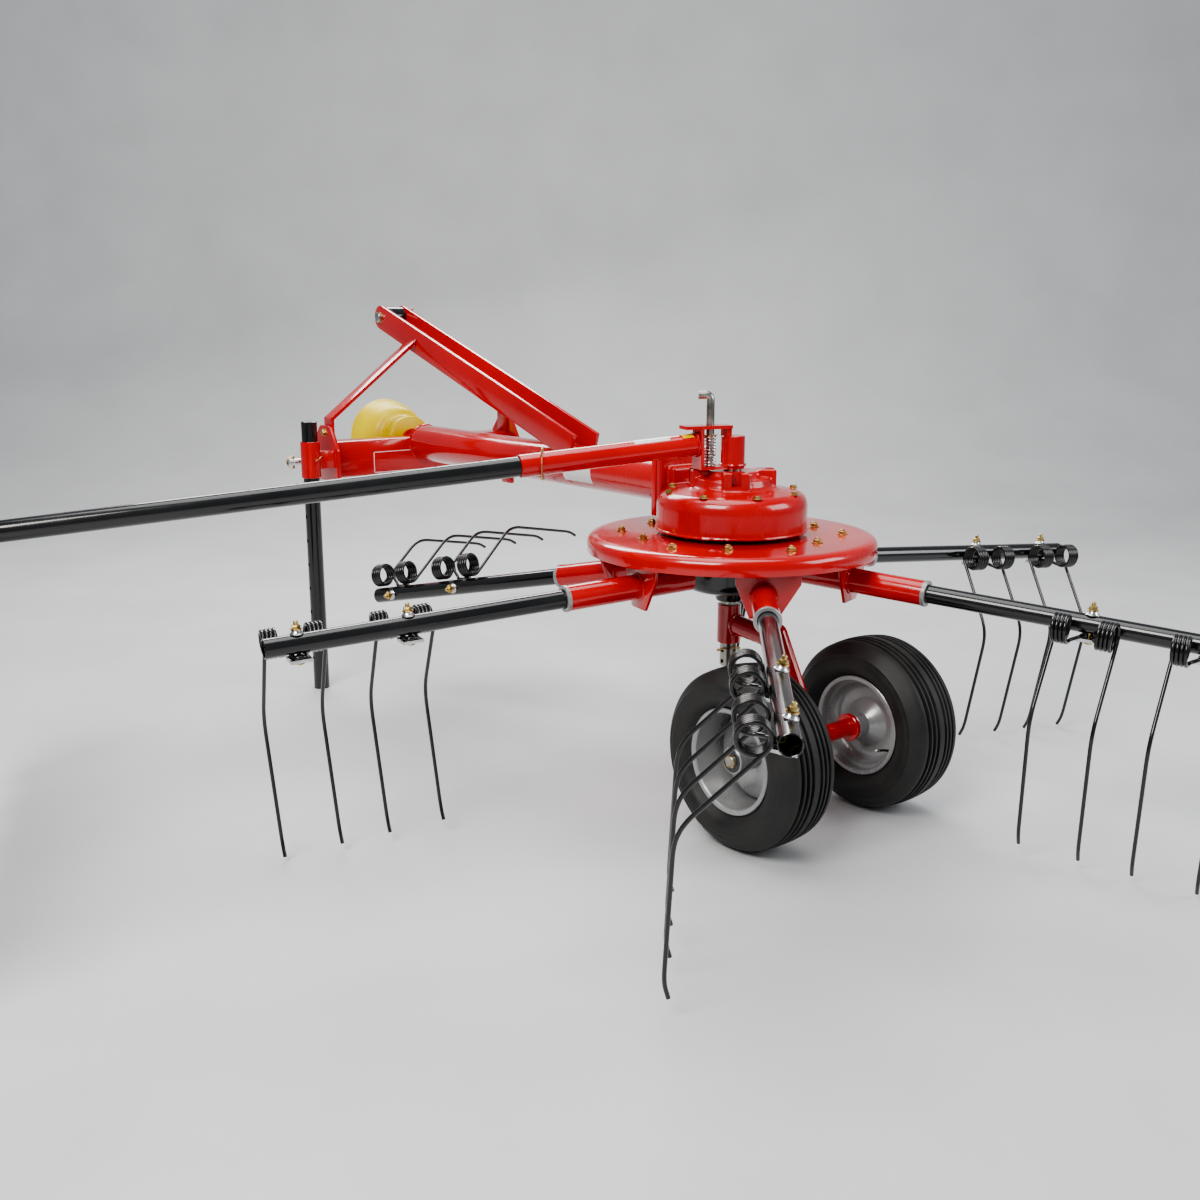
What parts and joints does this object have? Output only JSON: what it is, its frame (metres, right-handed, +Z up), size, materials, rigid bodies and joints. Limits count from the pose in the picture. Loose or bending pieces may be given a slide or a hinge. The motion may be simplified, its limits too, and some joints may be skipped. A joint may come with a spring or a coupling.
{
  "type": "rotary hay rake",
  "caption": "Three-point mounted rotary hay rake: disc rotor with drooped tine arms and double spring tines, caster wheels, A-frame hitch, parking leg and swath curtain.",
  "frame": {"origin": "on the floor under the middle of the machine's bounding box", "axes": "+Y forward to the tractor, +X to the right, +Z up"},
  "size_m": [2.9992, 2.8114, 1.1867],
  "materials": {
    "red_paint": "gloss",
    "black_paint": "gloss",
    "spring_wire": "gloss",
    "bare_steel": "satin",
    "zinc_plate": "yellow passivated",
    "rim_paint": "satin",
    "tyre_rubber": "matt",
    "guard_plastic": "semi-gloss",
    "curtain_canvas": "coated canvas"
  },
  "bodies": {
    "frame": {"cross_beam": "red_paint", "left_lug": "red_paint", "right_lug": "red_paint", "left_brace": "red_paint", "right_brace": "red_paint", "left_mast_bar": "red_paint", "right_mast_bar": "red_paint", "boom": "red_paint", "leg_socket": "red_paint", "gearbox_casting": "red_paint", "top_link_pin": "zinc_plate", "top_link_bush": "black_paint", "left_link_pin": "zinc_plate", "right_link_pin": "zinc_plate", "guard_back": "guard_plastic", "guard_collar": "guard_plastic", "guard_bell": "guard_plastic", "central_post": "bare_steel"},
    "rotor": {"rotor_disc": "red_paint", "rotor_hub": "black_paint", "arm_holder_1": "red_paint", "arm_holder_2": "red_paint", "arm_holder_3": "red_paint", "arm_holder_4": "red_paint", "arm_holder_5": "red_paint", "arm_holder_6": "red_paint", "arm_tube_1": "black_paint", "arm_tube_2": "black_paint", "arm_tube_3": "black_paint", "arm_tube_4": "black_paint", "arm_tube_5": "black_paint", "arm_tube_6": "black_paint", "tine_1a": "spring_wire", "tine_1b": "spring_wire", "tine_2a": "spring_wire", "tine_2b": "spring_wire", "tine_3a": "spring_wire", "tine_3b": "spring_wire", "tine_4a": "spring_wire", "tine_4b": "spring_wire", "tine_5a": "spring_wire", "tine_5b": "spring_wire", "tine_6a": "spring_wire", "tine_6b": "spring_wire"},
    "input_shaft": {"input_shaft": "bare_steel"},
    "deflector_arm": {"swing_bracket": "red_paint", "lock_pin": "bare_steel", "deflector_tube": "red_paint"},
    "deflector_pole": {"deflector_pole": "black_paint", "curtain_bar": "black_paint", "curtain": "curtain_canvas"},
    "parking_leg": {"parking_leg": "black_paint"},
    "wheel_frame": {"wheel_frame": "red_paint"},
    "left_wheel": {"left_tyre": "tyre_rubber", "left_rim": "rim_paint"},
    "right_wheel": {"right_tyre": "tyre_rubber", "right_rim": "rim_paint"}
  },
  "joints": [
    {"name": "rotor_spin", "type": "hinge", "parent": "frame", "child": "rotor", "pos_m": [0.3735, -0.31959, 0.645], "axis": [0, 0, 1], "continuous": true},
    {"name": "input_shaft_spin", "type": "hinge", "parent": "frame", "child": "input_shaft", "pos_m": [0.3735, 1.21041, 0.75], "axis": [0, 1, 0], "continuous": true},
    {"name": "deflector_swing", "type": "hinge", "parent": "frame", "child": "deflector_arm", "pos_m": [0.3735, -0.31959, 0.796], "axis": [0, 0, 1], "range_deg": [0, 108]},
    {"name": "deflector_pole_slide", "type": "slide", "parent": "deflector_arm", "child": "deflector_pole", "axis": [-0.9479, 0.308, -0.0811], "range_m": [-0.3, 0]},
    {"name": "parking_leg_slide", "type": "slide", "parent": "frame", "child": "parking_leg", "axis": [0, 0, 1], "range_m": [0, 0.66]},
    {"name": "caster_swivel", "type": "hinge", "parent": "frame", "child": "wheel_frame", "pos_m": [0.3735, -0.31959, 0.4225], "axis": [0, 0, 1], "continuous": true},
    {"name": "left_wheel_spin", "type": "hinge", "parent": "wheel_frame", "child": "left_wheel", "pos_m": [0.1665, -0.60859, 0.205], "axis": [1, 0, 0], "continuous": true},
    {"name": "right_wheel_spin", "type": "hinge", "parent": "wheel_frame", "child": "right_wheel", "pos_m": [0.5805, -0.60859, 0.205], "axis": [1, 0, 0], "continuous": true}
  ],
  "couplings": [
    {"joint": "input_shaft_spin", "follows": "rotor_spin", "ratio": 6}
  ]
}
